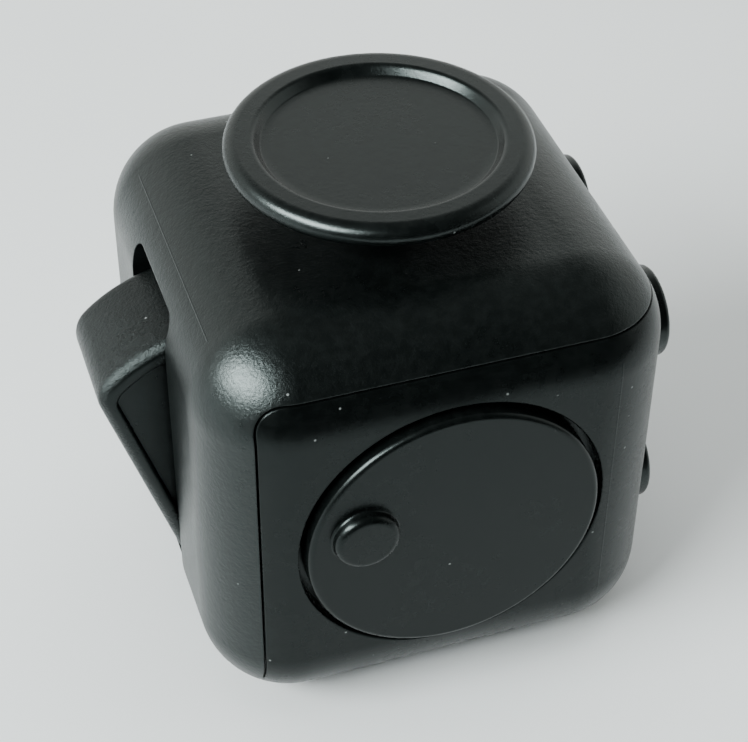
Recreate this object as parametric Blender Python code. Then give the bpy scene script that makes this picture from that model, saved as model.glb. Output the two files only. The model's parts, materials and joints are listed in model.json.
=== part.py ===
"""Fidget cube: a 33 mm hollow plastic cube with a different hand toy on each face.

Faces, in the part's own frame:
  top    (+Z)  glide disc on a sprung cross slide
  front  (-Y)  spinning dial with a finger nub
  left   (-X)  flip rocker with a sprung detent plunger
  right  (+X)  five push buttons over snap domes
  back   (+Y)  three toothed wheels on an axle, and a sprung steel ball
  bottom (-Z)  shallow oval thumb dish, the face that the cube rests on

Every shape is worked out in millimetres about the centre of the cube, then
turned into metres and moved so that the frame's origin is under the middle of
the whole object, on the resting plane.
"""
import math

import bmesh
import bpy
from mathutils import Matrix, Vector

# ---------------------------------------------------------------- dimensions
HALF = 16.5            # half the width of the cube
EDGE_R = 6.45          # outer radius of every edge and corner
WALL = 2.0             # wall thickness of both shells
SEAM = 13.3            # where the two shells meet, from the centre
SEAM_R = 2.0           # radius of the seam's corners
GAP = 0.3              # running and assembly clearance

CAP_R, CAP_TOP, CAP_UNDER = 10.5, 21.27, 19.55    # glide disc
CAP_FLOOR_R, CAP_LIP_R, CAP_FLOOR = 8.0, 8.55, 20.62
STEM_R = 2.6
GLIDE_TRAVEL = 2.0
GLIDE_HOLE_R = 5.8
PLATE_R = 8.5

DIAL_R, DIAL_TOP, DIAL_BACK = 10.42, -17.1, -15.5  # spinning dial
WELL_R, WELL_FLOOR = 10.9, -15.2
NUB_R, NUB_X, NUB_Z, NUB_TOP = 2.28, -6.5, 1.8, -18.0
HUB_R = 3.0

PIVOT_X = -12.9        # flip rocker
TILT = 17.3
ROCKER_W = 4.3         # half width
ROCKER_OUT = 6.1       # outer face from the pivot
ROCKER_END = 11.0      # radius of the end faces, about the pivot
ROCKER_IN = 0.9        # how far the ends reach in past the pivot's plane
ROCKER_CORNER = 2.4
SLOT_W, SLOT_L, SLOT_R = 4.7, 12.9, 1.1

BUTTON_R, BUTTON_OUT, BUTTON_PITCH = 3.3, 18.2, 7.0
BUTTON_TRAVEL = 1.0
BUTTONS = [(-7.0, 7.0), (7.0, 7.0), (0.0, 0.0), (-7.0, -7.0), (7.0, -7.0)]

GEAR_R, GEAR_ROOT, GEAR_W, GEAR_TEETH = 5.5, 4.95, 2.6, 14
GEAR_X = [-4.4, 0.0, 4.4]
AXLE_Y, AXLE_Z, AXLE_R = 12.1, 4.0, 0.8
BALL_R, BALL_Y, BALL_Z = 4.0, 13.6, -7.6
BALL_TRAVEL = 1.0

DISH_X, DISH_Y, DISH_D = 9.2, 6.6, 1.2

ORIGIN = Vector((1.470, 0.2, HALF))    # cube centre seen from the part's origin

# ---------------------------------------------------------------- scene reset
for o in list(bpy.data.objects):
    bpy.data.objects.remove(o, do_unlink=True)

SCENE = bpy.context.scene


def material(name, rgb, rough, metal=0.0):
    m = bpy.data.materials.new(name)
    m.use_nodes = True
    b = m.node_tree.nodes["Principled BSDF"]
    b.inputs["Base Color"].default_value = (*rgb, 1.0)
    b.inputs["Roughness"].default_value = rough
    b.inputs["Metallic"].default_value = metal
    m.diffuse_color = (*rgb, 1.0)
    return m


# ---------------------------------------------------------------- shape tools
def raw(bm, name="tool"):
    """A bmesh, in millimetres about the cube's centre, as an object."""
    bmesh.ops.recalc_face_normals(bm, faces=bm.faces[:])
    me = bpy.data.meshes.new(name)
    bm.to_mesh(me)
    bm.free()
    o = bpy.data.objects.new(name, me)
    SCENE.collection.objects.link(o)
    return o


def box(x0, x1, y0, y1, z0, z1, rounded=None):
    """A box; rounded is (radius, segments, test of an edge's middle)."""
    bm = bmesh.new()
    bmesh.ops.create_cube(bm, size=1.0)
    for v in bm.verts:
        v.co = Vector((x0 if v.co.x < 0 else x1,
                       y0 if v.co.y < 0 else y1,
                       z0 if v.co.z < 0 else z1))
    if rounded:
        r, seg, test = rounded
        edges = [e for e in bm.edges if test((e.verts[0].co + e.verts[1].co) / 2)]
        bmesh.ops.bevel(bm, geom=edges, offset=r, segments=seg, profile=0.5,
                        affect='EDGES', clamp_overlap=False)
    return raw(bm)


def rounded_cube(half, radius, seg):
    return box(-half, half, -half, half, -half, half,
               (radius, seg, lambda m: True))


# the turn that takes a local +z axis to each world axis
AXES = {
    "z": Matrix.Identity(3),
    "y": Matrix(((1, 0, 0), (0, 0, 1), (0, -1, 0))),
    "x": Matrix(((0, 0, 1), (0, 1, 0), (-1, 0, 0))),
}


def turned(profile, axis="z", at=(0.0, 0.0), steps=24, closed=False):
    """Spin a profile of (radius, height) about an axis.

    at is where the axis crosses the plane of the other two coordinates,
    in their order: (x, y) for z, (x, z) for y and (y, z) for x.
    """
    bm = bmesh.new()
    vs = [bm.verts.new((r, 0.0, h)) for r, h in profile]
    es = [bm.edges.new((vs[i], vs[i + 1])) for i in range(len(vs) - 1)]
    if closed:
        es.append(bm.edges.new((vs[-1], vs[0])))
    bmesh.ops.spin(bm, geom=vs + es, cent=(0, 0, 0), axis=(0, 0, 1),
                   dvec=(0, 0, 0), angle=2 * math.pi, steps=steps,
                   use_merge=True, use_duplicate=False)
    bmesh.ops.remove_doubles(bm, verts=bm.verts[:], dist=1e-5)
    bmesh.ops.dissolve_degenerate(bm, edges=bm.edges[:], dist=1e-6)
    m = AXES[axis].to_4x4()
    if axis == "z":
        t = Vector((at[0], at[1], 0))
    elif axis == "y":
        t = Vector((at[0], 0, at[1]))
    else:
        t = Vector((0, at[0], at[1]))
    bmesh.ops.transform(bm, matrix=Matrix.Translation(t) @ m, verts=bm.verts[:])
    return raw(bm)


def cylinder(r, a, b, axis="z", at=(0.0, 0.0), steps=24):
    return turned([(0, a), (r, a), (r, b), (0, b)], axis, at, steps)


def prism(points, y0, y1):
    """A polygon of (x, z) points carried from y0 to y1."""
    bm = bmesh.new()
    face = bm.faces.new([bm.verts.new((x, y0, z)) for x, z in points])
    r = bmesh.ops.extrude_face_region(bm, geom=[face])
    moved = [g for g in r["geom"] if isinstance(g, bmesh.types.BMVert)]
    bmesh.ops.translate(bm, vec=(0, y1 - y0, 0), verts=moved)
    return raw(bm)


def swapped(o, i, j):
    """Exchange two coordinates of a finished shape, keeping it right side out."""
    m = Matrix.Identity(4)
    m[i][i] = m[j][j] = 0
    m[i][j] = m[j][i] = 1
    o.data.transform(m)
    o.data.flip_normals()
    return o


def arc(cx, cz, r, a0, a1, n):
    return [(cx + r * math.cos(math.radians(a0 + (a1 - a0) * i / n)),
             cz + r * math.sin(math.radians(a0 + (a1 - a0) * i / n)))
            for i in range(n + 1)]


def combine(a, b, how):
    """Boolean b onto a, apply it, and throw b away."""
    mod = a.modifiers.new("cut", 'BOOLEAN')
    mod.operation = how
    mod.object = b
    mod.solver = 'EXACT'
    dg = bpy.context.evaluated_depsgraph_get()
    dg.update()
    me = bpy.data.meshes.new_from_object(a.evaluated_get(dg))
    a.modifiers.clear()
    old = a.data
    a.data = me
    bpy.data.meshes.remove(old)
    bpy.data.objects.remove(b, do_unlink=True)
    return a


def cut(a, *tools):
    for t in tools:
        combine(a, t, 'DIFFERENCE')
    return a


def join(a, *tools):
    for t in tools:
        combine(a, t, 'UNION')
    return a


def coil(radius, wire, h0, h1, turns, axis="z", at=(0.0, 0.0), per_turn=12, sides=6):
    """A round-wire coil spring about an axis, with its two ends capped."""
    bm = bmesh.new()
    n = int(turns * per_turn)
    rings = []
    for i in range(n + 1):
        t = i / per_turn * 2 * math.pi
        h = h0 + (h1 - h0) * i / n
        c = Vector((radius * math.cos(t), radius * math.sin(t), h))
        out = Vector((math.cos(t), math.sin(t), 0))
        ring = []
        for k in range(sides):
            a = 2 * math.pi * k / sides
            ring.append(bm.verts.new(c + wire * (math.cos(a) * out + Vector((0, 0, math.sin(a))))))
        rings.append(ring)
    for i in range(n):
        for k in range(sides):
            k2 = (k + 1) % sides
            bm.faces.new((rings[i][k], rings[i][k2], rings[i + 1][k2], rings[i + 1][k]))
    bm.faces.new(rings[0])
    bm.faces.new(rings[-1])
    m = AXES[axis].to_4x4()
    t = {"z": Vector((at[0], at[1], 0)), "y": Vector((at[0], 0, at[1])),
         "x": Vector((0, at[0], at[1]))}[axis]
    bmesh.ops.transform(bm, matrix=Matrix.Translation(t) @ m, verts=bm.verts[:])
    return raw(bm)


def screw(head_r, head, shank_r, a, b, axis, at):
    """Pan-head screw: the head sits before a, the shank runs from a to b."""
    s = 1 if b > a else -1
    top = a - s * head
    return turned([(0, top), (head_r * 0.7, top), (head_r, top + s * head * 0.5),
                   (head_r, a), (shank_r, a), (shank_r, b - s * 0.3),
                   (0, b)], axis, at, 8)


def node(o, name, mat, origin=(0.0, 0.0, 0.0), smooth=35.0):
    """Name a finished shape, put its origin on its joint axis, use metres."""
    bm = bmesh.new()
    bm.from_mesh(o.data)
    bmesh.ops.remove_doubles(bm, verts=bm.verts[:], dist=1e-4)
    bmesh.ops.dissolve_degenerate(bm, edges=bm.edges[:], dist=1e-4)
    bm.to_mesh(o.data)
    bm.free()
    c = Vector(origin)
    o.data.transform(Matrix.Scale(0.001, 4) @ Matrix.Translation(-c))
    o.location = (c + ORIGIN) * 0.001
    o.name = name
    o.data.name = name
    o.data.materials.clear()
    o.data.materials.append(mat)
    if smooth:
        o.data.shade_smooth()
        o.data.set_sharp_from_angle(angle=math.radians(smooth))
    return o


# ------------------------------------------------------------------ materials
SHELL = material("shell_black", (0.022, 0.024, 0.023), 0.48)
GLOSS = material("dial_black", (0.018, 0.019, 0.019), 0.34)
INNER = material("inner_grey", (0.20, 0.21, 0.22), 0.55)
STEEL = material("steel", (0.55, 0.56, 0.57), 0.30, 1.0)
SPRING = material("spring_steel", (0.42, 0.43, 0.45), 0.35, 1.0)
BRASS = material("bush_acetal", (0.75, 0.74, 0.70), 0.45)
RUBBER = material("silicone", (0.35, 0.36, 0.37), 0.75)

# --------------------------------------------------------------- the two shells
# A hollow rounded cube is split so that one shell owns the top, left and back
# faces and the other the front, right and bottom ones, as two corner pieces.
INNER_HALF = HALF - WALL


def hollow():
    return cut(rounded_cube(HALF, EDGE_R, 6), rounded_cube(INNER_HALF, EDGE_R - WALL, 4))


def seam_box(d, r):
    far = 30.0
    return box(-SEAM + d, far, -far, SEAM - d, -far, SEAM - d,
               (r, 4, lambda m: (abs(m.x) > 20) + (abs(m.y) > 20) + (abs(m.z) > 20) == 0
                or (m.x < 0 and m.z > 0 and abs(m.y) < 20)
                or (m.x < 0 and m.y > 0 and abs(m.z) < 20)
                or (m.y > 0 and m.z > 0 and abs(m.x) < 20)))


upper = combine(hollow(), seam_box(-GAP / 2, SEAM_R + GAP / 2), 'DIFFERENCE')
lower = combine(hollow(), seam_box(GAP / 2, SEAM_R - GAP / 2), 'INTERSECT')

# Upper shell: glide hole, rocker slot, wheel slots and the ball's conical hole.
cut(upper, cylinder(GLIDE_HOLE_R, 12.0, 18.0, "z", steps=24))
cut(upper, box(-18.0, -13.0, -SLOT_W, SLOT_W, -SLOT_L, SLOT_L,
               (SLOT_R, 4, lambda m: abs(m.y) > 1 and abs(m.z) > 1)))
for gx in GEAR_X:
    cut(upper, box(gx - GEAR_W / 2 - GAP, gx + GEAR_W / 2 + GAP, 13.0, 18.0,
                   AXLE_Z - GEAR_R - 0.1, AXLE_Z + GEAR_R + 0.1))
cut(upper, turned([(0, 13.9), (4.6, 13.9), (4.3, 14.5), (3.15, 16.5), (3.15, 17.5), (0, 17.5)],
                  "y", (0, BALL_Z), 20))

GLIDE_POSTS = [(-10.3, -10.3), (10.3, -10.3), (10.3, 10.3), (-10.3, 10.3)]
for px, py in GLIDE_POSTS:
    join(upper, cylinder(1.4, 11.9, 15.1, "z", (px, py), 10))
    cut(upper, cylinder(0.85, 11.0, 14.4, "z", (px, py), 8))
CRADLE_POSTS = [-7.8, 7.8]
for py in CRADLE_POSTS:
    join(upper, cylinder(1.6, -15.0, -12.7, "x", (py, 0.0), 10))
    cut(upper, cylinder(0.85, -15.6, -12.0, "x", (py, 0.0), 8))
ROLL_POSTS = [(-9.2, 0.2), (9.2, 0.2), (-8.2, -8.4), (8.2, -8.4)]
for px, pz in ROLL_POSTS:
    join(upper, cylinder(1.5, 12.7, 15.0, "y", (px, pz), 10))
    cut(upper, cylinder(0.85, 12.0, 15.6, "y", (px, pz), 8))
node(upper, "upper_shell", SHELL)

# Lower shell: dial well and bush hole, button holes, thumb dish, screw posts.
join(lower, cylinder(11.4, -14.9, -13.4, "y", (0, 0), 24))
cut(lower, cylinder(WELL_R, -18.0, WELL_FLOOR, "y", (0, 0), 36))
cut(lower, cylinder(4.95, -16.0, -12.0, "y", (0, 0), 22))
for by, bz in BUTTONS:
    cut(lower, cylinder(BUTTON_R + GAP, 12.5, 18.0, "x", (by, bz), 22))
BUTTON_POSTS = [(-7.2, 0.0), (7.2, 0.0), (0.0, -7.2), (0.0, 7.2)]
for py, pz in BUTTON_POSTS:
    join(lower, cylinder(1.5, 11.0, 15.0, "x", (py, pz), 10))
    cut(lower, cylinder(0.85, 10.0, 14.2, "x", (py, pz), 8))
# snap tabs: hooks that reach behind the upper shell at three of the seams
for s in (-1, 1):
    a, b = sorted((5.6 * s, 8.2 * s))
    join(lower, box(a, b, -14.6, -11.4, 11.0, 13.1), box(a, b, -12.1, -11.4, 12.9, 13.8))
    join(lower, box(a, b, 11.0, 13.1, -14.6, -11.4), box(a, b, 12.9, 13.8, -12.1, -11.4))
    join(lower, box(-13.1, -11.0, a, b, -14.6, -11.4), box(-13.8, -12.9, a, b, -12.1, -11.4))
# the dish is a flattened ball sunk into the bottom face
dish_c = (1.0 - (DISH_D / 6.0 - 1.0) ** 2) ** 0.5   # where the ball meets the face
ball_tool = turned([(math.sin(math.pi * i / 14), -math.cos(math.pi * i / 14)) for i in range(15)],
                   "z", (0, 0), 24)
ball_tool.data.transform(Matrix.Translation((0, 0, -HALF - 6.0 + DISH_D)) @
                         Matrix.Diagonal((DISH_X / dish_c, DISH_Y / dish_c, 6.0, 1.0)))
cut(lower, ball_tool)
node(lower, "lower_shell", SHELL)

# ------------------------------------------------------------------ glide disc
node(turned([(0, CAP_FLOOR), (CAP_FLOOR_R, CAP_FLOOR), (CAP_LIP_R, CAP_TOP),
             (9.75, CAP_TOP), (10.27, 21.02), (CAP_R, 20.5), (10.34, 19.92),
             (9.8, CAP_UNDER), (3.2, CAP_UNDER), (STEM_R, 19.0), (STEM_R, 14.5),
             (0.95, 14.5), (0.95, 17.2), (0, 17.2)], "z", steps=40),
     "glide_cap", SHELL, (0, 0, 17.0))
plate = turned([(0, 13.2), (PLATE_R, 13.2), (PLATE_R, 14.2), (0, 14.2)], "z", steps=28)
join(plate, box(-2.8, 2.8, -2.8, 2.8, 11.9, 13.5))
cut(plate, cylinder(0.95, 11.0, 15.0, "z", steps=10))
node(plate, "glide_slide_plate", INNER, (0, 0, 13.7))
node(screw(1.6, 0.6, 0.6, 11.6, 16.4, "z", (0, 0)), "glide_screw", STEEL, (0, 0, 13.7))

carriage = box(-7.5, 7.5, -6.9, 6.9, 12.0, 12.9)
cut(carriage, box(-3.1, 3.1, -5.1, 5.1, 11.0, 14.0))
node(carriage, "glide_cross_slide", BRASS, (0, 0, 12.5))

# four square lugs, with the sides between them kept back from the toys there
C, S, E = 12.0, 10.9, 8.5
retainer = swapped(prism([(-C, -C), (-E, -C), (-E, -S), (E, -S), (E, -C), (C, -C), (C, -E), (S, -E),
                          (S, E), (C, E), (C, C), (E, C), (E, S), (-E, S), (-E, C), (-C, C),
                          (-C, E), (-9.2, E), (-9.2, -E), (-C, -E)], 10.6, 11.6), 1, 2)
join(retainer, cylinder(5.4, 6.6, 11.0, "z", steps=18))
for s in (-1, 1):
    a, b = sorted((7.3 * s, 8.3 * s))
    join(retainer, box(-5.0, 5.0, a, b, 11.3, 12.6))
cut(retainer, cylinder(4.8, 7.4, 12.0, "z", steps=18))
for px, py in GLIDE_POSTS:
    cut(retainer, cylinder(0.9, 10.0, 12.0, "z", (px, py), 8))
node(retainer, "glide_retainer", INNER)
for i, (px, py) in enumerate(GLIDE_POSTS, 1):
    node(screw(1.15, 0.7, 0.55, 10.3, 13.9, "z", (px, py)), "glide_retainer_screw_%d" % i,
         STEEL, (px, py, 11.0))
node(coil(3.0, 0.25, 7.75, 10.5, 3.5, "z", (0, 0), 10, 5), "glide_return_spring", SPRING, (0, 0, 7.75))

# ---------------------------------------------------------------- spinning dial
dial = turned([(0, DIAL_TOP), (9.95, DIAL_TOP), (10.3, -16.97), (DIAL_R, -16.7),
               (DIAL_R, DIAL_BACK), (HUB_R, DIAL_BACK), (HUB_R, -12.0),
               (0.95, -12.0), (0.95, -14.4), (0, -14.4)], "y", (0, 0), 40)
join(dial, turned([(0, NUB_TOP), (1.75, NUB_TOP), (2.13, -17.85), (NUB_R, -17.5),
                   (NUB_R, -16.8), (0, -16.8)], "y", (NUB_X, NUB_Z), 18))
node(dial, "spin_dial", GLOSS, (0, -15.5, 0))
node(turned([(3.3, -15.1), (4.6, -15.1), (4.6, -13.1), (5.6, -13.1), (5.6, -12.4), (3.3, -12.4)],
            "y", (0, 0), 18, closed=True), "dial_bush", BRASS, (0, -13.0, 0))
node(turned([(0.9, -11.7), (4.4, -11.7), (4.4, -11.0), (0.9, -11.0)], "y", (0, 0), 16, closed=True),
     "dial_retaining_washer", STEEL, (0, -11.4, 0))
node(screw(1.6, 0.7, 0.6, -10.7, -13.8, "y", (0, 0)), "dial_screw", STEEL, (0, -11.4, 0))

# ------------------------------------------------------------------ flip rocker
# Drawn level, with its outer face towards -X, then tipped about the pivot.


def rocker_side(inset=0.0, end_inset=0.0, reach=ROCKER_IN):
    """Side view: a flat outer face, round corners, and ends that curve about the pivot."""
    r = ROCKER_CORNER - inset
    end = ROCKER_END - end_inset
    cx = -(ROCKER_OUT - inset - r)
    cz = ((end - r) ** 2 - cx ** 2) ** 0.5
    meet = math.degrees(math.atan2(cz, cx))
    start = math.degrees(math.acos(reach / end))
    top = arc(0, 0, end, start, meet, 4)[:-1] + arc(cx, cz, r, meet, 180, 4)
    pts = top + [(x, -z) for x, z in reversed(top)]
    return [(PIVOT_X + x, z) for x, z in pts]


rocker = prism(rocker_side(), -ROCKER_W, ROCKER_W)
for s in (-1, 1):
    a, b = sorted((s * (ROCKER_W - 0.5), s * (ROCKER_W + 1.0)))
    cut(rocker, prism(rocker_side(1.2, 1.4, 3.0), a, b))
join(rocker, turned([(0, -ROCKER_W), (2.0, -ROCKER_W), (2.0, ROCKER_W), (0, ROCKER_W)],
                    "y", (PIVOT_X, 0), 16))
join(rocker, cylinder(1.9, PIVOT_X + 0.3, PIVOT_X + 4.0, "x", (0, 0), 12))
cut(rocker, cylinder(1.2, PIVOT_X + 1.7, PIVOT_X + 5.0, "x", (0, 0), 10))
cut(rocker, cylinder(1.15, -6.0, 6.0, "y", (PIVOT_X, 0), 12))
plunger = turned([(0, PIVOT_X + 3.2), (0.85, PIVOT_X + 3.2), (0.85, PIVOT_X + 4.6),
                  (0.6, PIVOT_X + 5.0), (0, PIVOT_X + 5.2)], "x", (0, 0), 10)
plunger_spring = coil(0.7, 0.14, PIVOT_X + 1.8, PIVOT_X + 3.0, 2.5, "x", (0, 0), 8, 4)
tip = (Matrix.Translation((PIVOT_X, 0, 0)) @ Matrix.Rotation(math.radians(-TILT), 4, 'Y') @
       Matrix.Translation((-PIVOT_X, 0, 0)))
for o in (rocker, plunger, plunger_spring):
    o.data.transform(tip)
node(rocker, "flip_rocker", SHELL, (PIVOT_X, 0, 0))
node(plunger, "rocker_detent_plunger", BRASS, (PIVOT_X, 0, 0))
node(plunger_spring, "rocker_detent_spring", SPRING, (PIVOT_X, 0, 0))
node(turned([(0, -5.8), (0.65, -5.8), (AXLE_R, -5.6), (AXLE_R, 5.6), (0.65, 5.8), (0, 5.8)],
            "y", (PIVOT_X, 0), 12), "rocker_pin", STEEL, (PIVOT_X, 0, 0))

# The cradle carries the pin in two cheeks. Behind the plunger it has a curved
# detent track with a notch at each end of the rocker's throw.
TRACK_R, NOTCH = 5.55, 0.35
track = []
for i in range(-8, 9):
    ang = i * 5.8
    r = TRACK_R + (NOTCH if abs(abs(ang) - TILT) < 6.0 else 0.0)
    x, z = PIVOT_X + r * math.cos(math.radians(ang)), r * math.sin(math.radians(ang))
    if abs(z) <= 4.0:
        track.append((x, z))
cradle = prism([(-6.0, -4.2), (-6.0, 4.2), (track[-1][0], 4.2)] + track[::-1] + [(track[0][0], -4.2)],
               -3.6, 3.6)
for s in (-1, 1):
    a, b = sorted((4.6 * s, 5.8 * s))
    join(cradle, box(-14.1, -8.3, a, b, -4.2, 4.2))
    a, b = sorted((2.6 * s, 5.5 * s))
    join(cradle, box(-9.3, -8.3, a, b, -4.2, 4.2))
    a, b = sorted((5.5 * s, 9.4 * s))
    join(cradle, box(-12.4, -11.4, a, b, -1.7, 1.7))
cut(cradle, cylinder(1.15, -7.0, 7.0, "y", (PIVOT_X, 0), 12))
for py in CRADLE_POSTS:
    cut(cradle, cylinder(0.9, -13.0, -11.0, "x", (py, 0), 8))
node(cradle, "rocker_cradle", INNER)
for i, py in enumerate(CRADLE_POSTS, 1):
    node(screw(1.15, 0.7, 0.55, -11.1, -15.2, "x", (py, 0)), "rocker_cradle_screw_%d" % i,
         STEEL, (-12, py, 0))

# --------------------------------------------------------------------- buttons
for i, (by, bz) in enumerate(BUTTONS, 1):
    node(turned([(0, 12.2), (1.4, 12.2), (1.4, 13.1), (4.0, 13.1), (4.0, 14.1),
                 (BUTTON_R, 14.1), (BUTTON_R, 17.85), (3.2, 18.1), (2.9, BUTTON_OUT),
                 (0, BUTTON_OUT)], "x", (by, bz), 18),
         "button_%d" % i, SHELL, (BUTTON_OUT, by, bz))
    # thin dome, rim towards the back plate
    outer = [(2.6, 11.0), (2.3, 11.2), (1.6, 11.65), (0.8, 11.85), (0, 11.9)]
    under = [(0, 11.62), (0.8, 11.57), (1.5, 11.38), (2.2, 11.0)]
    node(turned(outer[::-1] + under[::-1], "x", (by, bz), 10),
         "button_dome_%d" % i, STEEL if i in (1, 3, 5) else RUBBER, (11.0, by, bz))
back = box(9.7, 10.7, -9.9, 9.9, -9.3, 9.3, (1.5, 3, lambda m: abs(m.y) > 1 and abs(m.z) > 1))
for py, pz in BUTTON_POSTS:
    cut(back, cylinder(0.9, 9.0, 11.5, "x", (py, pz), 8))
node(back, "button_backplate", INNER)
for i, (py, pz) in enumerate(BUTTON_POSTS, 1):
    node(screw(1.15, 0.7, 0.55, 9.4, 13.6, "x", (py, pz)), "button_backplate_screw_%d" % i,
         STEEL, (10.0, py, pz))

# ------------------------------------------------- toothed wheels and steel ball
tooth = []
for k in range(GEAR_TEETH):
    for f, r in ((-0.26, GEAR_ROOT), (-0.14, GEAR_R), (0.14, GEAR_R), (0.26, GEAR_ROOT)):
        a = 2 * math.pi * (k + f) / GEAR_TEETH
        tooth.append((r * math.cos(a), r * math.sin(a)))
for i, gx in enumerate(GEAR_X, 1):
    g = prism([(AXLE_Y + p, AXLE_Z + q) for p, q in tooth], gx - GEAR_W / 2, gx + GEAR_W / 2)
    swapped(g, 0, 1)
    cut(g, cylinder(1.15, gx - 3, gx + 3, "x", (AXLE_Y, AXLE_Z), 12))
    node(g, "gear_wheel_%d" % i, SHELL, (gx, AXLE_Y, AXLE_Z))
node(turned([(0, -7.9), (0.65, -7.9), (AXLE_R, -7.7), (AXLE_R, 7.7), (0.65, 7.9), (0, 7.9)],
            "x", (AXLE_Y, AXLE_Z), 12), "gear_axle", STEEL, (0, AXLE_Y, AXLE_Z))

bracket = box(-7.6, 7.6, 4.6, 5.6, -9.0, 5.9)
join(bracket, cylinder(5.6, 4.6, 12.4, "y", (0, BALL_Z), 18))
for s in (-1, 1):
    a, b = sorted((6.5 * s, 7.6 * s))
    join(bracket, box(a, b, 5.0, 13.7, -1.2, 5.9))
    a, b = sorted((7.2 * s, 10.9 * s))
    join(bracket, box(a, b, 11.4, 12.4, -1.2, 1.6))
    a, b = sorted((3.5 * s, 9.9 * s))
    join(bracket, box(a, b, 11.4, 12.4, -9.9, -6.9))
cut(bracket, cylinder(5.2, 5.6, 13.0, "y", (0, BALL_Z), 18))
cut(bracket, cylinder(1.15, -9.0, 9.0, "x", (AXLE_Y, AXLE_Z), 12))
for px, pz in ROLL_POSTS:
    cut(bracket, cylinder(0.9, 11.0, 13.0, "y", (px, pz), 8))
node(bracket, "roll_bracket", INNER)
for i, (px, pz) in enumerate(ROLL_POSTS, 1):
    node(screw(1.15, 0.7, 0.55, 11.1, 15.2, "y", (px, pz)), "roll_bracket_screw_%d" % i,
         STEEL, (px, 12.0, pz))

socket = [(4.35 * math.sin(a), BALL_Y - 4.35 * math.cos(a))
          for a in [math.radians(81 * (6 - i) / 6) for i in range(7)]]
node(turned([(0, 8.6), (4.8, 8.6), (4.8, socket[0][1])] + socket, "y", (0, BALL_Z), 18),
     "ball_cup", BRASS, (0, BALL_Y, BALL_Z))
node(turned([(BALL_R * math.sin(math.pi * i / 10), BALL_Y + BALL_R * math.cos(math.pi * i / 10))
             for i in range(11)], "y", (0, BALL_Z), 18), "steel_ball", STEEL, (0, BALL_Y, BALL_Z))
node(coil(3.2, 0.28, 6.2, 8.0, 2.5, "y", (0, BALL_Z), 10, 5), "ball_spring", SPRING, (0, 6.2, BALL_Z))
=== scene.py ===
"""Looks of the fidget cube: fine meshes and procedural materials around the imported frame."""
import json
import math

import bmesh
import bpy
import numpy as np
from mathutils import Matrix, Vector


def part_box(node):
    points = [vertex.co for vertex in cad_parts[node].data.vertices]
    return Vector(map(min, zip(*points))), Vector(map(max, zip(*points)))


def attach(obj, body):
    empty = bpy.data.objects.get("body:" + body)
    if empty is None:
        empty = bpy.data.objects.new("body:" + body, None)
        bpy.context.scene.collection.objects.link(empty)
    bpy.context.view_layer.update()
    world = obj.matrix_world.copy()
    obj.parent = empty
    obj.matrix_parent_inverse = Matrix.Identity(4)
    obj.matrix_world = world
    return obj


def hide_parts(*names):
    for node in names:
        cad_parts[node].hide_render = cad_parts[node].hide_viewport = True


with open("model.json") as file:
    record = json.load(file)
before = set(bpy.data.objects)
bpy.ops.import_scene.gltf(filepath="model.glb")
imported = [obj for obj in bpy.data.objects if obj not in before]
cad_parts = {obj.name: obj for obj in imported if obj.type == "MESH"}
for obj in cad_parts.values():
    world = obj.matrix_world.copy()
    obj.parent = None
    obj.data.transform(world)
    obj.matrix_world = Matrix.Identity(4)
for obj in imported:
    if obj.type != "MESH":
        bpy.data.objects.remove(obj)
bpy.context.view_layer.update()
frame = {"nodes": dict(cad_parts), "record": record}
N = frame["nodes"]

# ------------------------------------------------------------------ the frame
# Shapes are worked out in millimetres about the centre of the cube. The centre
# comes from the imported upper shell, whose left, back and top faces are the cube's.
HALF, EDGE_R, WALL = 16.5, 6.45, 2.0
_lo, _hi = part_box("upper_shell")
CENTRE = Vector((_lo.x + HALF / 1000, _hi.y - HALF / 1000, _hi.z - HALF / 1000))
TO_ROW = Matrix.Translation(CENTRE) @ Matrix.Scale(0.001, 4)
SCENE = bpy.context.scene
SEAM, SEAM_R, GAP = 13.3, 2.0, 0.16


# ---------------------------------------------------------------- shape tools
def obj_of(bm, name="tool", recalc=True):
    if recalc:
        bmesh.ops.recalc_face_normals(bm, faces=bm.faces[:])
    me = bpy.data.meshes.new(name)
    bm.to_mesh(me)
    bm.free()
    o = bpy.data.objects.new(name, me)
    SCENE.collection.objects.link(o)
    return o


def box(x0, x1, y0, y1, z0, z1, rounded=None):
    bm = bmesh.new()
    bmesh.ops.create_cube(bm, size=1.0)
    for v in bm.verts:
        v.co = Vector((x0 if v.co.x < 0 else x1, y0 if v.co.y < 0 else y1, z0 if v.co.z < 0 else z1))
    if rounded:
        r, seg, test = rounded
        edges = [e for e in bm.edges if test((e.verts[0].co + e.verts[1].co) / 2)]
        bmesh.ops.bevel(bm, geom=edges, offset=r, segments=seg, profile=0.5, affect='EDGES',
                        clamp_overlap=False)
    return obj_of(bm)


TURN = {
    "z": Matrix.Identity(3),
    "y": Matrix(((1, 0, 0), (0, 0, 1), (0, -1, 0))),
    "x": Matrix(((0, 0, 1), (0, 1, 0), (-1, 0, 0))),
}


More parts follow.
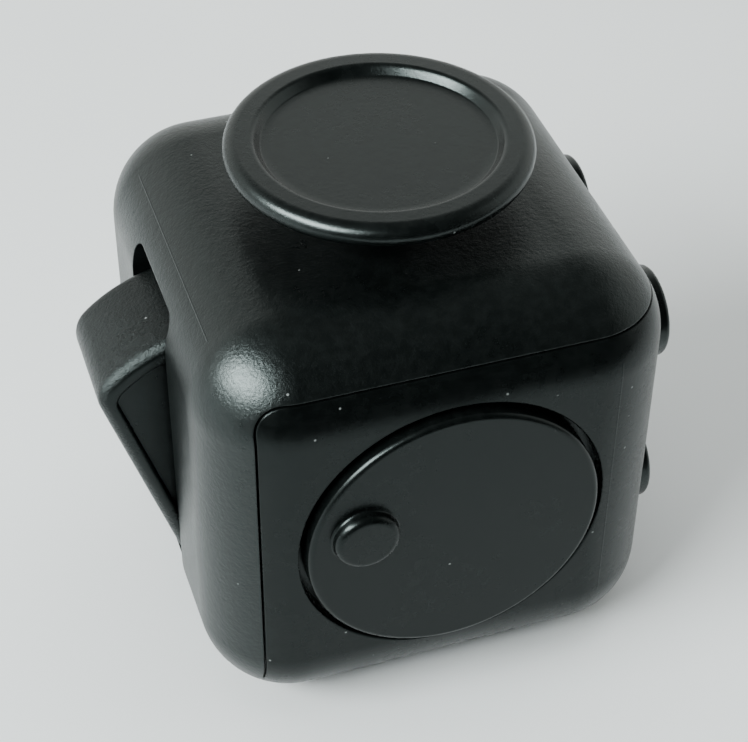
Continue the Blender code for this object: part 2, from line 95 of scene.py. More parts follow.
def turned(profile, axis="z", at=(0.0, 0.0), steps=64, closed=False):
    """Rings of a (radius, height) profile about an axis, as one closed skin of quads."""
    bm = bmesh.new()
    m = TURN[axis].to_4x4()
    t = {"z": Vector((at[0], at[1], 0)), "y": Vector((at[0], 0, at[1])), "x": Vector((0, at[0], at[1]))}[axis]
    m = Matrix.Translation(t) @ m
    rings = []
    for r, h in profile:
        if abs(r) < 1e-9:
            rings.append([bm.verts.new(m @ Vector((0, 0, h)))])
        else:
            rings.append([bm.verts.new(m @ Vector((r * math.cos(2 * math.pi * k / steps),
                                                   r * math.sin(2 * math.pi * k / steps), h)))
                          for k in range(steps)])
    pairs = list(zip(rings[:-1], rings[1:]))
    if closed:
        pairs.append((rings[-1], rings[0]))
    for a, b in pairs:
        for k in range(steps):
            k2 = (k + 1) % steps
            if len(a) == 1:
                bm.faces.new((a[0], b[k], b[k2]))
            elif len(b) == 1:
                bm.faces.new((a[k], b[0], a[k2]))
            else:
                bm.faces.new((a[k], b[k], b[k2], a[k2]))
    return obj_of(bm)


def cyl(r, a, b, axis="z", at=(0.0, 0.0), steps=40):
    return turned([(0, a), (r, a), (r, b), (0, b)], axis, at, steps)


def prism(points, y0, y1):
    bm = bmesh.new()
    face = bm.faces.new([bm.verts.new((x, y0, z)) for x, z in points])
    r = bmesh.ops.extrude_face_region(bm, geom=[face])
    bmesh.ops.translate(bm, vec=(0, y1 - y0, 0), verts=[g for g in r["geom"] if isinstance(g, bmesh.types.BMVert)])
    return obj_of(bm)


def arc(cx, cz, r, a0, a1, n):
    return [(cx + r * math.cos(math.radians(a0 + (a1 - a0) * i / n)),
             cz + r * math.sin(math.radians(a0 + (a1 - a0) * i / n))) for i in range(n + 1)]


def drop(*objs):
    for o in objs:
        bpy.data.objects.remove(o, do_unlink=True)


def group(*objs):
    """Several shapes that don't meet, as one tool."""
    bm = bmesh.new()
    for o in objs:
        bm.from_mesh(o.data)
    drop(*objs)
    return obj_of(bm, recalc=False)


def combine(a, b, how):
    mod = a.modifiers.new("b", 'BOOLEAN')
    mod.operation, mod.object, mod.solver = how, b, 'EXACT'
    dg = bpy.context.evaluated_depsgraph_get()
    dg.update()
    me = bpy.data.meshes.new_from_object(a.evaluated_get(dg))
    a.modifiers.clear()
    a.data = me
    drop(b)
    return a


def cut(a, *tools):
    return combine(a, group(*tools), 'DIFFERENCE')


def join(a, *tools):
    return combine(a, group(*tools), 'UNION')


def tidy(o, dist=2e-4):
    bm = bmesh.new()
    bm.from_mesh(o.data)
    bmesh.ops.remove_doubles(bm, verts=bm.verts[:], dist=dist)
    bmesh.ops.dissolve_degenerate(bm, edges=bm.edges[:], dist=dist)
    bm.to_mesh(o.data)
    bm.free()
    return o


def finish_piece(o, name, body, nodes, mat, smooth=32.0, normals=None):
    """Metres, name, shading, material, and the CAD body that the piece rides on."""
    tidy(o)
    me = o.data
    me.shade_smooth()
    me.set_sharp_from_angle(angle=math.radians(smooth))
    if normals:
        custom = []
        base = [Vector(c.vector) for c in me.corner_normals]
        for p in me.polygons:
            for li in p.loop_indices:
                n = normals(me.vertices[me.loops[li].vertex_index].co, p.normal)
                custom.append(n if n is not None else base[li])
        me.normals_split_custom_set(custom)
    me.transform(TO_ROW)
    o.name = name
    me.name = name
    me.materials.clear()
    me.materials.append(mat)
    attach(o, body)
    if nodes:
        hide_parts(*nodes)
    return o


# ------------------------------------------------------------------ materials
class Graph:
    """Short names for making shader nodes."""

    def __init__(self, name):
        self.m = bpy.data.materials.new(name)
        self.m.use_nodes = True
        self.t = self.m.node_tree
        self.b = self.t.nodes["Principled BSDF"]

    def node(self, kind, **values):
        n = self.t.nodes.new(kind)
        for k, v in values.items():
            if k in n.inputs:
                n.inputs[k].default_value = v
            else:
                setattr(n, k, v)
        return n

    def link(self, a, b):
        self.t.links.new(a, b)

    def math(self, op, a, b=None, c=None, clamp=False):
        n = self.t.nodes.new("ShaderNodeMath")
        n.operation = op
        n.use_clamp = clamp
        for i, v in enumerate((a, b, c)):
            if v is None:
                continue
            if isinstance(v, (int, float)):
                n.inputs[i].default_value = v
            else:
                self.link(v, n.inputs[i])
        return n.outputs[0]

    def ramp(self, x, a, b, lo=0.0, hi=1.0, smooth=True):
        n = self.t.nodes.new("ShaderNodeMapRange")
        n.interpolation_type = 'SMOOTHSTEP' if smooth else 'LINEAR'
        self.link(x, n.inputs["Value"])
        n.inputs["From Min"].default_value = a
        n.inputs["From Max"].default_value = b
        n.inputs["To Min"].default_value = lo
        n.inputs["To Max"].default_value = hi
        return n.outputs["Result"]

    def place(self):
        """The surface point in millimetres about the cube's centre."""
        tc = self.node("ShaderNodeTexCoord")
        vm = self.node("ShaderNodeVectorMath", operation='SUBTRACT')
        self.link(tc.outputs["Object"], vm.inputs[0])
        vm.inputs[1].default_value = CENTRE
        sc = self.node("ShaderNodeVectorMath", operation='SCALE')
        self.link(vm.outputs[0], sc.inputs[0])
        sc.inputs["Scale"].default_value = 1000.0
        return sc.outputs[0]

    def noise(self, p, scale, detail=2.0, rough=0.5, dims='3D'):
        n = self.node("ShaderNodeTexNoise", noise_dimensions=dims)
        n.inputs["Scale"].default_value = scale
        n.inputs["Detail"].default_value = detail
        n.inputs["Roughness"].default_value = rough
        self.link(p, n.inputs["Vector"])
        return n.outputs["Fac"]

    def voronoi(self, p, scale, out="Distance"):
        n = self.node("ShaderNodeTexVoronoi")
        n.inputs["Scale"].default_value = scale
        self.link(p, n.inputs["Vector"])
        return n.outputs[out]

    def mix(self, f, a, b):
        n = self.t.nodes.new("ShaderNodeMix")
        n.data_type = 'RGBA'
        if isinstance(f, float):
            n.inputs[0].default_value = f
        else:
            self.link(f, n.inputs[0])
        for i, v in ((6, a), (7, b)):
            if isinstance(v, tuple):
                n.inputs[i].default_value = (*v, 1.0)
            else:
                self.link(v, n.inputs[i])
        return n.outputs[2]

    def bump(self, height, distance, strength=1.0, under=None):
        n = self.node("ShaderNodeBump")
        n.inputs["Distance"].default_value = distance
        n.inputs["Strength"].default_value = strength
        self.link(height, n.inputs["Height"])
        if under is not None:
            self.link(under, n.inputs["Normal"])
        return n.outputs["Normal"]

    def edge(self, radius_mm, samples=6):
        n = self.node("ShaderNodeBevel")
        n.samples = samples
        n.inputs["Radius"].default_value = radius_mm / 1000
        return n.outputs["Normal"]


def plastic(name, base, rough, grain_mm=0.28, grain_h=0.010, edge_mm=0.12, dust=0.5, extra=None,
            specular=0.30, calm_sides=False):
    """Moulded plastic: spark-eroded grain, soft smudges and a little dust."""
    g = Graph(name)
    p = g.place()
    # spark-eroded grain: two sizes of soft pits
    g1 = g.noise(p, 1.0 / grain_mm, 4.0, 0.68)
    g2 = g.noise(p, 0.42 / grain_mm, 1.5, 0.5)
    grain = g.math('ADD', g.math('MULTIPLY', g1, 0.7), g.math('MULTIPLY', g2, 0.45))
    height = g.math('MULTIPLY', grain, grain_h)
    if calm_sides:
        # the faces square to y are polished, the rest is grained
        geo = g.node("ShaderNodeNewGeometry")
        sep = g.node("ShaderNodeSeparateXYZ")
        g.link(geo.outputs["Normal"], sep.inputs[0])
        height = g.math('MULTIPLY', height, g.ramp(g.math('ABSOLUTE', sep.outputs[1]), 0.86, 0.97, 1.0, 0.12))
    if extra:
        height = extra(g, p, height)
    normal = g.edge(edge_mm) if edge_mm else None
    g.link(g.bump(height, 0.001, 1.0, normal), g.b.inputs["Normal"])
    # roughness: handling leaves broad smoother patches
    hand = g.noise(p, 0.11, 3.0, 0.55)
    fine = g.noise(p, 1.3, 3.0, 0.6)
    rr = g.math('ADD', g.ramp(hand, 0.35, 0.7, rough + 0.02, rough - 0.02),
                g.ramp(fine, 0.3, 0.7, -0.012, 0.012))
    # colour: faint mottling, and dust caught by the grain
    tint = tuple(min(1.0, c * 1.35 + 0.001) for c in base)
    col = g.mix(g.ramp(fine, 0.35, 0.7), base, tint)
    if dust:
        cell = g.voronoi(p, 0.55)
        pick = g.node("ShaderNodeSeparateColor")
        g.link(g.voronoi(p, 0.55, "Color"), pick.inputs[0])
        speck = g.math('MULTIPLY', g.ramp(cell, 0.030, 0.062, 1.0, 0.0), g.ramp(pick.outputs[0], 0.66, 0.68))
        col = g.mix(g.math('MULTIPLY', speck, 0.8 * dust), col, (0.42, 0.45, 0.44))
        rr = g.math('ADD', rr, g.math('MULTIPLY', speck, 0.3), clamp=True)
    g.link(col, g.b.inputs["Base Color"])
    g.link(rr, g.b.inputs["Roughness"])
    g.b.inputs["Specular IOR Level"].default_value = specular
    g.b.inputs["Specular Tint"].default_value = (0.84, 1.0, 0.985, 1.0)
    return g.m


def ridge(g, p, height, axis_a, axis_b, offset, limits, h=0.02, w=0.07):
    """A hair-thin mould line where a*x + b*z is near offset, kept inside limits."""
    s = g.node("ShaderNodeSeparateXYZ")
    g.link(p, s.inputs[0])
    xyz = {"x": s.outputs[0], "y": s.outputs[1], "z": s.outputs[2]}
    d = g.math('ADD', g.math('MULTIPLY', xyz[axis_a[0]], axis_a[1]), g.math('MULTIPLY', xyz[axis_b[0]], axis_b[1]))
    d = g.math('ABSOLUTE', g.math('SUBTRACT', d, offset))
    k = g.ramp(d, 0.0, w, 1.0, 0.0)
    for ax, a, b in limits:
        k = g.math('MULTIPLY', k, g.ramp(xyz[ax], a, a + 0.4))
        k = g.math('MULTIPLY', k, g.ramp(xyz[ax], b - 0.4, b, 1.0, 0.0))
    return g.math('ADD', height, g.math('MULTIPLY', k, h))


def upper_extra(g, p, height):
    return ridge(g, p, height, ("x", 0.7071), ("z", 0.7071), 0.0,
                 [("x", -17.0, -12.5), ("y", -9.6, 9.6)], 0.022, 0.08)


def lower_extra(g, p, height):
    return ridge(g, p, height, ("x", 1.0), ("z", 0.0), 11.55,
                 [("y", -17.0, -13.0), ("z", -10.6, 11.6)], 0.010, 0.10)


def metal(name, base, rough, lines=(2.0, 2.0, 14.0), amount=0.5, edge_mm=0.08):
    g = Graph(name)
    p = g.place()
    mp = g.node("ShaderNodeMapping")
    mp.inputs["Scale"].default_value = lines
    g.link(p, mp.inputs["Vector"])
    n = g.noise(mp.outputs[0], 1.0, 4.0, 0.6)
    spots = g.noise(p, 0.9, 3.0, 0.6)
    g.link(g.ramp(n, 0.3, 0.7, rough * 0.75, rough * 1.3), g.b.inputs["Roughness"])
    g.link(g.mix(g.ramp(spots, 0.35, 0.7), base, tuple(c * 0.86 for c in base)), g.b.inputs["Base Color"])
    g.b.inputs["Metallic"].default_value = 1.0
    g.link(g.bump(g.math('MULTIPLY', n, 0.002 * amount), 0.001, 1.0, g.edge(edge_mm)), g.b.inputs["Normal"])
    return g.m


BLACK = (0.0014, 0.0020, 0.0019)
MAT = {
    "upper": plastic("upper_shell_plastic", BLACK, 0.30, grain_mm=0.20, grain_h=0.042, extra=upper_extra),
    "lower": plastic("lower_shell_plastic", BLACK, 0.27, grain_mm=0.20, grain_h=0.010, extra=lower_extra, specular=0.165),
    "rocker": plastic("rocker_plastic", BLACK, 0.29, grain_mm=0.20, grain_h=0.105, edge_mm=0.08, specular=0.20,
                      calm_sides=True),
    "cap": plastic("glide_plastic", BLACK, 0.26, grain_mm=0.15, grain_h=0.016, edge_mm=0),
    "dial": plastic("dial_plastic", BLACK, 0.25, grain_mm=0.18, grain_h=0.007, edge_mm=0, specular=0.17),
    "button": plastic("button_plastic", BLACK, 0.28, grain_mm=0.2, grain_h=0.008, edge_mm=0),
    "wheel": plastic("wheel_plastic", BLACK, 0.28, grain_mm=0.2, grain_h=0.008, edge_mm=0.10),
    "inner": plastic("inner_plastic", (0.035, 0.037, 0.038), 0.5, grain_mm=0.4, grain_h=0.003, edge_mm=0.1, dust=0),
    "acetal": plastic("acetal", (0.62, 0.61, 0.57), 0.42, grain_mm=0.5, grain_h=0.002, edge_mm=0.1, dust=0),
    "silicone": plastic("silicone", (0.22, 0.23, 0.235), 0.62, grain_mm=0.3, grain_h=0.002, edge_mm=0.1, dust=0),
    "steel": metal("hardware_steel", (0.56, 0.57, 0.58), 0.30),
    "spring": metal("spring_steel", (0.42, 0.43, 0.45), 0.28, (9, 9, 9), 0.3, 0.04),
    "ball": metal("ball_steel", (0.66, 0.67, 0.68), 0.13, (5, 5, 5), 0.10, 0.0),
}


# ----------------------------------------------------------------- the shells
def outer_normal(co, face_n):
    """The true normal of the rounded cube, for corners that lie on its outer skin."""
    k = HALF - EDGE_R
    q = Vector((co.x - max(-k, min(k, co.x)), co.y - max(-k, min(k, co.y)), co.z - max(-k, min(k, co.z))))
    if abs(q.length - EDGE_R) > 0.02:
        return None
    n = q.normalized()
    return n if n.dot(face_n) > 0.90 else None


def hollow():
    a = box(-HALF, HALF, -HALF, HALF, -HALF, HALF, (EDGE_R, 22, lambda m: True))
    i = HALF - WALL
    return cut(a, box(-i, i, -i, i, -i, i, (EDGE_R - WALL, 8, lambda m: True)))


def seam_box(d, r):
    far = 30.0
    return box(-SEAM + d, far, -far, SEAM - d, -far, SEAM - d,
               (r, 10, lambda m: (m.x < 0 and m.z > 0 and abs(m.y) < 20)
                or (m.x < 0 and m.y > 0 and abs(m.z) < 20)
                or (m.y > 0 and m.z > 0 and abs(m.x) < 20)))


def rim_hole(r, inner, face, lip, steps=48):
    """Profile of a round hole whose rim rolls over onto the face with radius lip."""
    s = 1 if face > inner else -1
    pts = [(0, inner), (r, inner), (r, face - s * lip)]
    for i in range(1, 6):
        a = math.pi / 2 * i / 5
        pts.append((r + lip * (1 - math.cos(a)), face - s * lip * (1 - math.sin(a))))
    return pts + [(r + lip + 0.02, face + s * 1.5), (0, face + s * 1.5)]


upper = combine(hollow(), seam_box(-GAP / 2, SEAM_R + GAP / 2), 'DIFFERENCE')
lower = combine(hollow(), seam_box(GAP / 2, SEAM_R - GAP / 2), 'INTERSECT')

GLIDE_POSTS = [(-10.3, -10.3), (10.3, -10.3), (10.3, 10.3), (-10.3, 10.3)]
CRADLE_POSTS = [-7.8, 7.8]
ROLL_POSTS = [(-9.2, 0.2), (9.2, 0.2), (-8.2, -8.4), (8.2, -8.4)]
BUTTON_POSTS = [(-7.2, 0.0), (7.2, 0.0), (0.0, -7.2), (0.0, 7.2)]
BUTTONS = [(-7.0, 7.0), (7.0, 7.0), (0.0, 0.0), (-7.0, -7.0), (7.0, -7.0)]
BALL_Y, BALL_Z, AXLE_Y, AXLE_Z = 13.6, -7.6, 12.1, 4.0

join(upper, *[cyl(1.4, 11.9, 15.1, "z", q, 24) for q in GLIDE_POSTS],
     *[cyl(1.6, -15.0, -12.7, "x", (q, 0), 24) for q in CRADLE_POSTS],
     *[cyl(1.5, 12.7, 15.0, "y", q, 24) for q in ROLL_POSTS])
SLOT = lambda m: abs(m.y) > 1 and abs(m.z) > 1
cut(upper, turned(rim_hole(5.8, 12.0, HALF, 0.3), "z", (0, 0), 64),
    box(-18.0, -13.0, -4.7, 4.7, -12.9, 12.9, (1.1, 10, SLOT)),
    *[box(gx - 1.6, gx + 1.6, 13.0, 18.0, AXLE_Z - 5.6, AXLE_Z + 5.6,
          (0.5, 5, lambda m: abs(m.x - gx) > 1 and abs(m.z - AXLE_Z) > 1)) for gx in (-4.4, 0.0, 4.4)],
    turned([(0, 13.9), (4.6, 13.9), (4.3, 14.5), (3.2, 16.25), (3.17, 16.33), (3.18, 16.41), (3.23, 16.47),
            (3.31, 16.5), (3.33, 17.5), (0, 17.5)], "y", (0, BALL_Z), 56),
    *[cyl(0.85, 11.0, 14.4, "z", q, 16) for q in GLIDE_POSTS],
    *[cyl(0.85, -15.6, -12.0, "x", (q, 0), 16) for q in CRADLE_POSTS],
    *[cyl(0.85, 12.0, 15.6, "y", q, 16) for q in ROLL_POSTS])
finish_piece(upper, "upper_shell_skin", "cube_body", ["upper_shell"], MAT["upper"],
             normals=outer_normal)

tabs_a, tabs_b = [], []
for s in (-1, 1):
    a, b = sorted((5.6 * s, 8.2 * s))
    tabs_a += [box(a, b, -14.6, -11.4, 11.0, 13.1), box(a, b, 11.0, 13.1, -14.6, -11.4),
               box(-13.1, -11.0, a, b, -14.6, -11.4)]
    tabs_b += [box(a, b, -12.1, -11.4, 12.9, 13.8), box(a, b, 12.9, 13.8, -12.1, -11.4),
               box(-13.8, -12.9, a, b, -12.1, -11.4)]
join(lower, cyl(11.4, -14.9, -13.4, "y", (0, 0), 72),
     *[cyl(1.5, 11.0, 15.0, "x", q, 24) for q in BUTTON_POSTS])
join(lower, *tabs_a)
join(lower, *tabs_b)
# thumb dish: a shallow bowl whose rim rolls softly into the bottom face
DISH_X, DISH_Y, DISH_D = 9.2, 6.6, 1.2
bm = bmesh.new()
rings = []
for i in range(25):
    u = i / 24
    # depth falls off like a bowl and flares out tangentially at the rim
    d = DISH_D * (1 - u * u) ** 1.0 * (0.5 + 0.5 * math.cos(math.pi * min(1.0, u) ** 2.2)) ** 0.25 if u < 1 else 0.0
    rings.append((u * 1.03, -HALF + d))
rings.append((1.06, -HALF - 2.0))
vs = []
for u, z in rings:
    if u < 1e-9:
        vs.append([bm.verts.new((0, 0, z))])
    else:
        vs.append([bm.verts.new((DISH_X * u * math.cos(2 * math.pi * k / 72), DISH_Y * u * math.sin(2 * math.pi * k / 72), z))
                   for k in range(72)])
vs.append([bm.verts.new((0, 0, -HALF - 2.0))])
for a, b in zip(vs[:-1], vs[1:]):
    for k in range(72):
        k2 = (k + 1) % 72
        if len(a) == 1:
            bm.faces.new((a[0], b[k], b[k2]))
        elif len(b) == 1:
            bm.faces.new((a[k], b[0], a[k2]))
        else:
            bm.faces.new((a[k], b[k], b[k2], a[k2]))
dish = obj_of(bm)
cut(lower, turned(rim_hole(10.9, -15.2, -HALF, 0.22), "y", (0, 0), 128), dish,
    *[turned(rim_hole(3.6, 12.5, HALF, 0.2), "x", q, 48) for q in BUTTONS],
    *[cyl(0.85, 10.0, 14.2, "x", q, 16) for q in BUTTON_POSTS])
cut(lower, cyl(4.9, -16.0, -12.0, "y", (0, 0), 48))
finish_piece(lower, "lower_shell_skin", "cube_body", ["lower_shell"], MAT["lower"],
             normals=outer_normal)

# ----------------------------------------------------------------- glide disc
cap = [(0, 20.585), (4.0, 20.59), (7.3, 20.61), (7.86, 20.62), (7.94, 20.64), (8.0, 20.70),
       (8.30, 21.08), (8.36, 21.15), (8.44, 21.215), (8.54, 21.255), (8.66, 21.27), (8.70, 21.27),
       (9.58, 21.27), (9.62, 21.27)]
for i in range(1, 15):
    a = math.radians(90 - 180 * i / 14)
    cap.append((9.62 + 0.88 * math.cos(a), 20.41 + 0.86 * math.sin(a)))
cap += [(9.58, 19.55), (3.4, 19.55)]
for i in range(1, 6):
    a = math.radians(90 + 90 * i / 5)
    cap.append((3.4 + 0.8 * math.cos(a), 18.75 + 0.8 * math.sin(a)))
cap += [(2.6, 14.52), (2.58, 14.5), (0.95, 14.5), (0.95, 17.2), (0, 17.2)]
finish_piece(turned(cap, "z", (0, 0), 128), "glide_cap_skin", "glide_disc", ["glide_cap"],
             MAT["cap"])

# ----------------------------------------------------------------------- dial
dial = [(0, -17.10), (9.9, -17.10), (10.02, -17.10)]
for i in range(1, 7):
    a = math.radians(90 * i / 6)
    dial.append((10.02 + 0.40 * math.sin(a), -16.75 - 0.35 * math.cos(a)))
dial += [(10.42, -15.55), (10.38, -15.5), (3.0, -15.5), (3.0, -12.05), (2.95, -12.0), (0.95, -12.0),
         (0.95, -14.4), (0, -14.4)]
nub = [(0, -18.0), (1.72, -18.0), (1.76, -18.0)]
for i in range(1, 8):
    a = math.radians(90 * i / 7)
    nub.append((1.76 + 0.52 * math.sin(a), -17.52 - 0.48 * math.cos(a)))
nub += [(2.28, -17.32)]
for i in range(1, 6):
    a = math.radians(90 * i / 5)
    nub.append((2.52 - 0.24 * math.cos(a), -17.32 + 0.235 * math.sin(a)))
nub += [(2.6, -17.0), (2.6, -16.6), (0, -16.6)]
dial_o = turned(dial, "y", (0, 0), 144)
join(dial_o, turned(nub, "y", (-6.5, 1.8), 64))


def dial_normal(co, face_n):
    """The dial's flat face keeps a flat normal right up to the nub's fillet."""
    if abs(co.y + 17.1) < 1e-3 and face_n.y < -0.995:
        return Vector((0, -1, 0))
    return None


finish_piece(dial_o, "spin_dial_skin", "dial", ["spin_dial"], MAT["dial"], normals=dial_normal)

# --------------------------------------------------------------------- rocker
PX, TILT, RW = -12.9, 17.3, 4.3


def rocker_side(inset=0.0, end_inset=0.0, reach=0.9, n=14):
    """Side view: a flat outer face, round corners, and ends that curve about the pivot."""
    r, end = 2.4 - inset, 11.0 - end_inset
    cx = -(6.1 - inset - r)
    cz = ((end - r) ** 2 - cx ** 2) ** 0.5
    meet = math.degrees(math.atan2(cz, cx))
    top = arc(0, 0, end, math.degrees(math.acos(reach / end)), meet, n)[:-1] + arc(cx, cz, r, meet, 180, n)
    return [(PX + x, z) for x, z in top + [(x, -z) for x, z in reversed(top)]]


bm = bmesh.new()
side = rocker_side()
face = bm.faces.new([bm.verts.new((x, -RW, z)) for x, z in side])
r = bmesh.ops.extrude_face_region(bm, geom=[face])
bmesh.ops.translate(bm, vec=(0, 2 * RW, 0), verts=[g for g in r["geom"] if isinstance(g, bmesh.types.BMVert)])
rim = [e for e in bm.edges if abs(e.verts[0].co.y - e.verts[1].co.y) < 1e-6
       and not (abs(e.verts[0].co.x - (PX + 0.9)) < 1e-5 and abs(e.verts[1].co.x - (PX + 0.9)) < 1e-5)]
bmesh.ops.bevel(bm, geom=rim, offset=0.85, segments=8, profile=0.5, affect='EDGES', clamp_overlap=False)
rocker = obj_of(bm)
LIP = [(0.5, 0.0)] + [(0.18 - 0.18 * math.sin(math.pi / 8 * i), 0.18 - 0.18 * math.cos(math.pi / 8 * i))
                     for i in range(5)] + [(-0.02, 0.2), (-1.0, 0.2)]
for s in (-1, 1):
    # the side recess, with its rim rolled over onto the rocker's side
    bm = bmesh.new()
    loops = [[bm.verts.new((x, s * (RW - deep), z)) for x, z in rocker_side(1.2 - out, 1.4 - out, 3.0, 10)]
             for deep, out in LIP]
    for a, b in zip(loops[:-1], loops[1:]):
        for i in range(len(a)):
            j = (i + 1) % len(a)
            bm.faces.new((a[i], a[j], b[j], b[i]))
    bm.faces.new(loops[0])
    bm.faces.new(loops[-1])
    bmesh.ops.recalc_face_normals(bm, faces=bm.faces)
    cut(rocker, obj_of(bm))
join(rocker, turned([(0, -RW), (1.9, -RW), (2.0, -RW + 0.1), (2.0, RW - 0.1), (1.9, RW), (0, RW)], "y", (PX, 0), 40))
join(rocker, cyl(1.9, PX + 0.3, PX + 4.0, "x", (0, 0), 32))
cut(rocker, cyl(1.2, PX + 1.7, PX + 5.0, "x", (0, 0), 28))
cut(rocker, cyl(1.15, -6.0, 6.0, "y", (PX, 0), 28))
rocker.data.transform(Matrix.Translation((PX, 0, 0)) @ Matrix.Rotation(math.radians(-TILT), 4, 'Y')
                      @ Matrix.Translation((-PX, 0, 0)))
finish_piece(rocker, "flip_rocker_skin", "rocker", ["flip_rocker"], MAT["rocker"])

# -------------------------------------------------------------------- buttons
for i, (by, bz) in enumerate(BUTTONS, 1):
    prof = [(0, 12.2), (1.35, 12.2), (1.4, 12.25), (1.4, 13.1), (3.9, 13.1), (4.0, 13.2), (4.0, 14.0), (3.9, 14.1),
            (3.3, 14.1), (3.3, 17.82)]
    for k in range(1, 7):
        a = math.radians(90 * k / 6)
        prof.append((2.92 + 0.38 * math.cos(a), 17.82 + 0.36 * math.sin(a)))
    prof += [(2.86, 18.18), (1.5, 18.165), (0, 18.16)]
    finish_piece(turned(prof, "x", (by, bz), 64), "button_%d_skin" % i, "button_body_%d" % i,
                 ["button_%d" % i], MAT["button"])

# ------------------------------------------------------------ wheels and ball
TEETH = 14
for i, gx in enumerate((-4.4, 0.0, 4.4), 1):
    pts = []
    for k in range(TEETH * 12):
        a = 2 * math.pi * k / (TEETH * 12)
        ph = (k / 12.0) % 1.0
        d = min(ph, 1 - ph)                       # 0 on a tooth's middle
        r = 5.5 - 0.55 * min(1.0, max(0.0, (d - 0.17) / 0.14)) ** 1.3
        pts.append((AXLE_Y + r * math.cos(a), AXLE_Z + r * math.sin(a)))
    bm = bmesh.new()
    f = bm.faces.new([bm.verts.new((gx - 1.3, y, z)) for y, z in pts])
    r = bmesh.ops.extrude_face_region(bm, geom=[f])
    bmesh.ops.translate(bm, vec=(2.6, 0, 0), verts=[g for g in r["geom"] if isinstance(g, bmesh.types.BMVert)])
    rim = [e for e in bm.edges if abs(e.verts[0].co.x - e.verts[1].co.x) < 1e-6]
    bmesh.ops.bevel(bm, geom=rim, offset=0.16, segments=3, profile=0.5, affect='EDGES', clamp_overlap=False)
    w = obj_of(bm)
    cut(w, cyl(1.15, gx - 3, gx + 3, "x", (AXLE_Y, AXLE_Z), 32))
    finish_piece(w, "gear_wheel_%d_skin" % i, "gear_%d" % i, ["gear_wheel_%d" % i], MAT["wheel"])
finish_piece(turned([(4.0 * math.sin(math.pi * k / 40), BALL_Y + 4.0 * math.cos(math.pi * k / 40)) for k in range(41)],
                    "y", (0, BALL_Z), 72), "steel_ball_skin", "ball", ["steel_ball"], MAT["ball"], 180)

# ------------------------------------- inner CAD nodes that keep their own shape
SLOT_MAT = {"inner_plastic": "inner", "acetal": "acetal", "hardware_steel": "steel", "spring_steel": "spring",
            "silicone": "silicone"}
for sub in frame["record"]["subparts"]:
    key = SLOT_MAT.get(sub["material_slot"])
    if key:
        o = N[sub["node"]]
        o.data.materials.clear()
        o.data.materials.append(MAT[key])
        o.data.shade_smooth()
        o.data.set_sharp_from_angle(angle=math.radians(38))

# --------------------------------------------------------------- stage, lights
g = Graph("floor_paint")
tc = g.node("ShaderNodeTexCoord")
n = g.noise(tc.outputs["Object"], 9.0, 4.0, 0.6)
g.link(g.mix(g.ramp(n, 0.3, 0.7), (0.79, 0.82, 0.82), (0.83, 0.86, 0.86)), g.b.inputs["Base Color"])
g.b.inputs["Roughness"].default_value = 0.7
g.b.inputs["Specular IOR Level"].default_value = 0.1
bm = bmesh.new()
bmesh.ops.create_grid(bm, x_segments=8, y_segments=8, size=1.5)
floor = obj_of(bm)
floor.name = "floor"
floor.data.transform(Matrix.Translation((0, 0, -0.00005)))
floor.data.materials.append(g.m)

# a near-black sheet on the table before the cube, seen only in the plastic's gloss: painted shade, a dark reflection
# standing in for the dim stretch of table in front
g = Graph("painted_shade_sheet_paint")
g.link(g.mix(g.ramp(g.noise(g.place(), 0.3), 0.3, 0.7), (0.004, 0.004, 0.004), (0.007, 0.007, 0.007)),
       g.b.inputs["Base Color"])
g.b.inputs["Roughness"].default_value = 0.9
g.b.inputs["Specular IOR Level"].default_value = 0.0
bm = bmesh.new()
bmesh.ops.create_grid(bm, x_segments=2, y_segments=2, size=0.35)
painted_shade_sheet = obj_of(bm)
painted_shade_sheet.name = "painted_shade_sheet"
painted_shade_sheet.data.transform(Matrix.Translation((0, -0.35 - 0.072, 0.0004)))
painted_shade_sheet.data.materials.append(g.m)
painted_shade_sheet.visible_camera = painted_shade_sheet.visible_diffuse = painted_shade_sheet.visible_shadow = False


def area(name, az, el, dist, size, power, color=(1, 1, 1), aim=(0, 0, 0.015)):
    d = bpy.data.lights.new(name, 'AREA')
    d.shape = 'RECTANGLE'
    d.size, d.size_y = size
    d.energy = power
    d.color = color
    o = bpy.data.objects.new(name, d)
    SCENE.collection.objects.link(o)
    a, e = math.radians(az), math.radians(el)
    o.location = Vector(aim) + dist * Vector((math.cos(e) * math.cos(a), math.cos(e) * math.sin(a), math.sin(e)))
    o.rotation_euler = (Vector(aim) - o.location).to_track_quat('-Z', 'Y').to_euler()
    return o


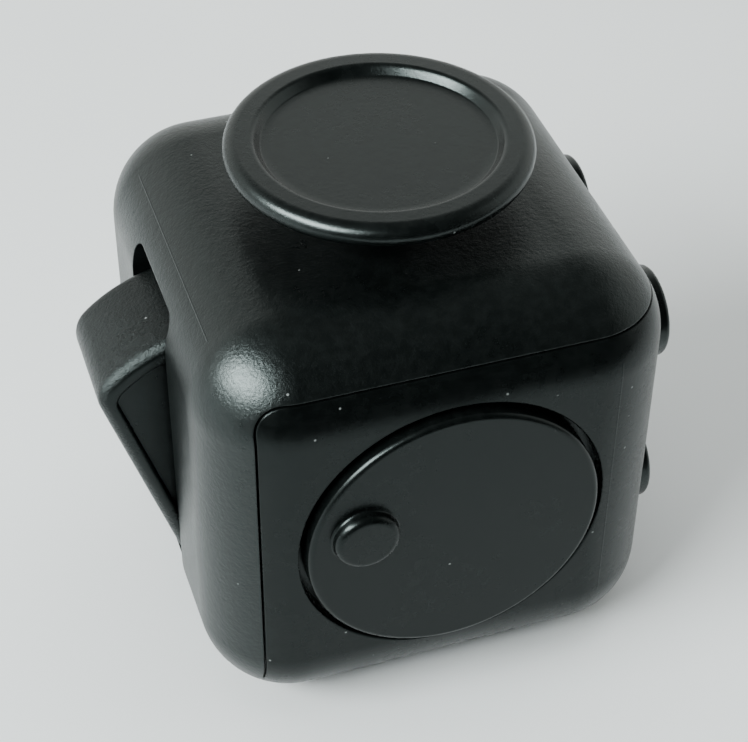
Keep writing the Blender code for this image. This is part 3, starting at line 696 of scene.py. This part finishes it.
area("window", -162, 36, 0.50, (0.34, 0.20), 5.4, (0.95, 1.0, 1.0))
glow = area("window_glow", -159, 35, 0.50, (0.48, 0.19), 10.0, (0.97, 1.0, 0.99))
fill = area("ceiling_fill", 60, 80, 0.70, (0.60, 0.60), 2.6, (0.97, 1.0, 1.0))
fill.visible_glossy = False
fill.visible_camera = False
glow.visible_diffuse = False
glow.visible_camera = False
world = bpy.data.worlds.new("room")
world.use_nodes = True
wt = world.node_tree


def world_node(kind, op=None, ins=()):
    n = wt.nodes.new(kind)
    if op:
        n.operation = op
    for k, v in enumerate(ins):
        if isinstance(v, bpy.types.NodeSocket):
            wt.links.new(v, n.inputs[k])
        elif v is not None:
            n.inputs[k].default_value = v
    return n


def world_step(x, a, b, lo, hi):
    n = world_node("ShaderNodeMapRange", None, (x, a, b, lo, hi))
    n.interpolation_type = 'SMOOTHSTEP'
    return n.outputs["Result"]


# a room with pale walls, a dim ceiling, and an unlit wall on the front side
wc = world_node("ShaderNodeTexCoord")
front = world_node("ShaderNodeVectorMath", 'DOT_PRODUCT',
                   (wc.outputs["Generated"], Vector((0.04, -0.95, 0.31)).normalized())).outputs["Value"]
height = world_node("ShaderNodeSeparateXYZ", None, (wc.outputs["Generated"],)).outputs[2]
shade = world_node("ShaderNodeMath", 'MULTIPLY',
                   (world_step(front, 0.35, 0.78, 1.0, 0.02), world_step(height, 0.56, 0.78, 1.0, 0.14))).outputs[0]
level = world_node("ShaderNodeMath", 'MULTIPLY', (shade, 1.5)).outputs[0]
wt.links.new(level, wt.nodes["Background"].inputs[1])
wt.nodes["Background"].inputs[0].default_value = (0.94, 0.96, 0.925, 1.0)
SCENE.world = world

# --------------------------------------------------------------------- camera
cam = bpy.data.cameras.new("camera")
cam.sensor_width = 36.0
cam.lens = 1997.93 / 748 * 36.0
cam.clip_start = 0.01
co = bpy.data.objects.new("camera", cam)
SCENE.collection.objects.link(co)
right, down, fwd = (Vector((0.94918, -0.31466, 0.00683)), Vector((-0.20437, -0.6327, -0.74695)),
                    Vector((0.23935, 0.70759, -0.66485)))
rot = Matrix((right, -down, -fwd)).transposed().to_4x4()
co.matrix_world = Matrix.Translation(CENTRE + Vector((-35.3755, -103.9565, 97.8712)) / 1000) @ rot
SCENE.camera = co
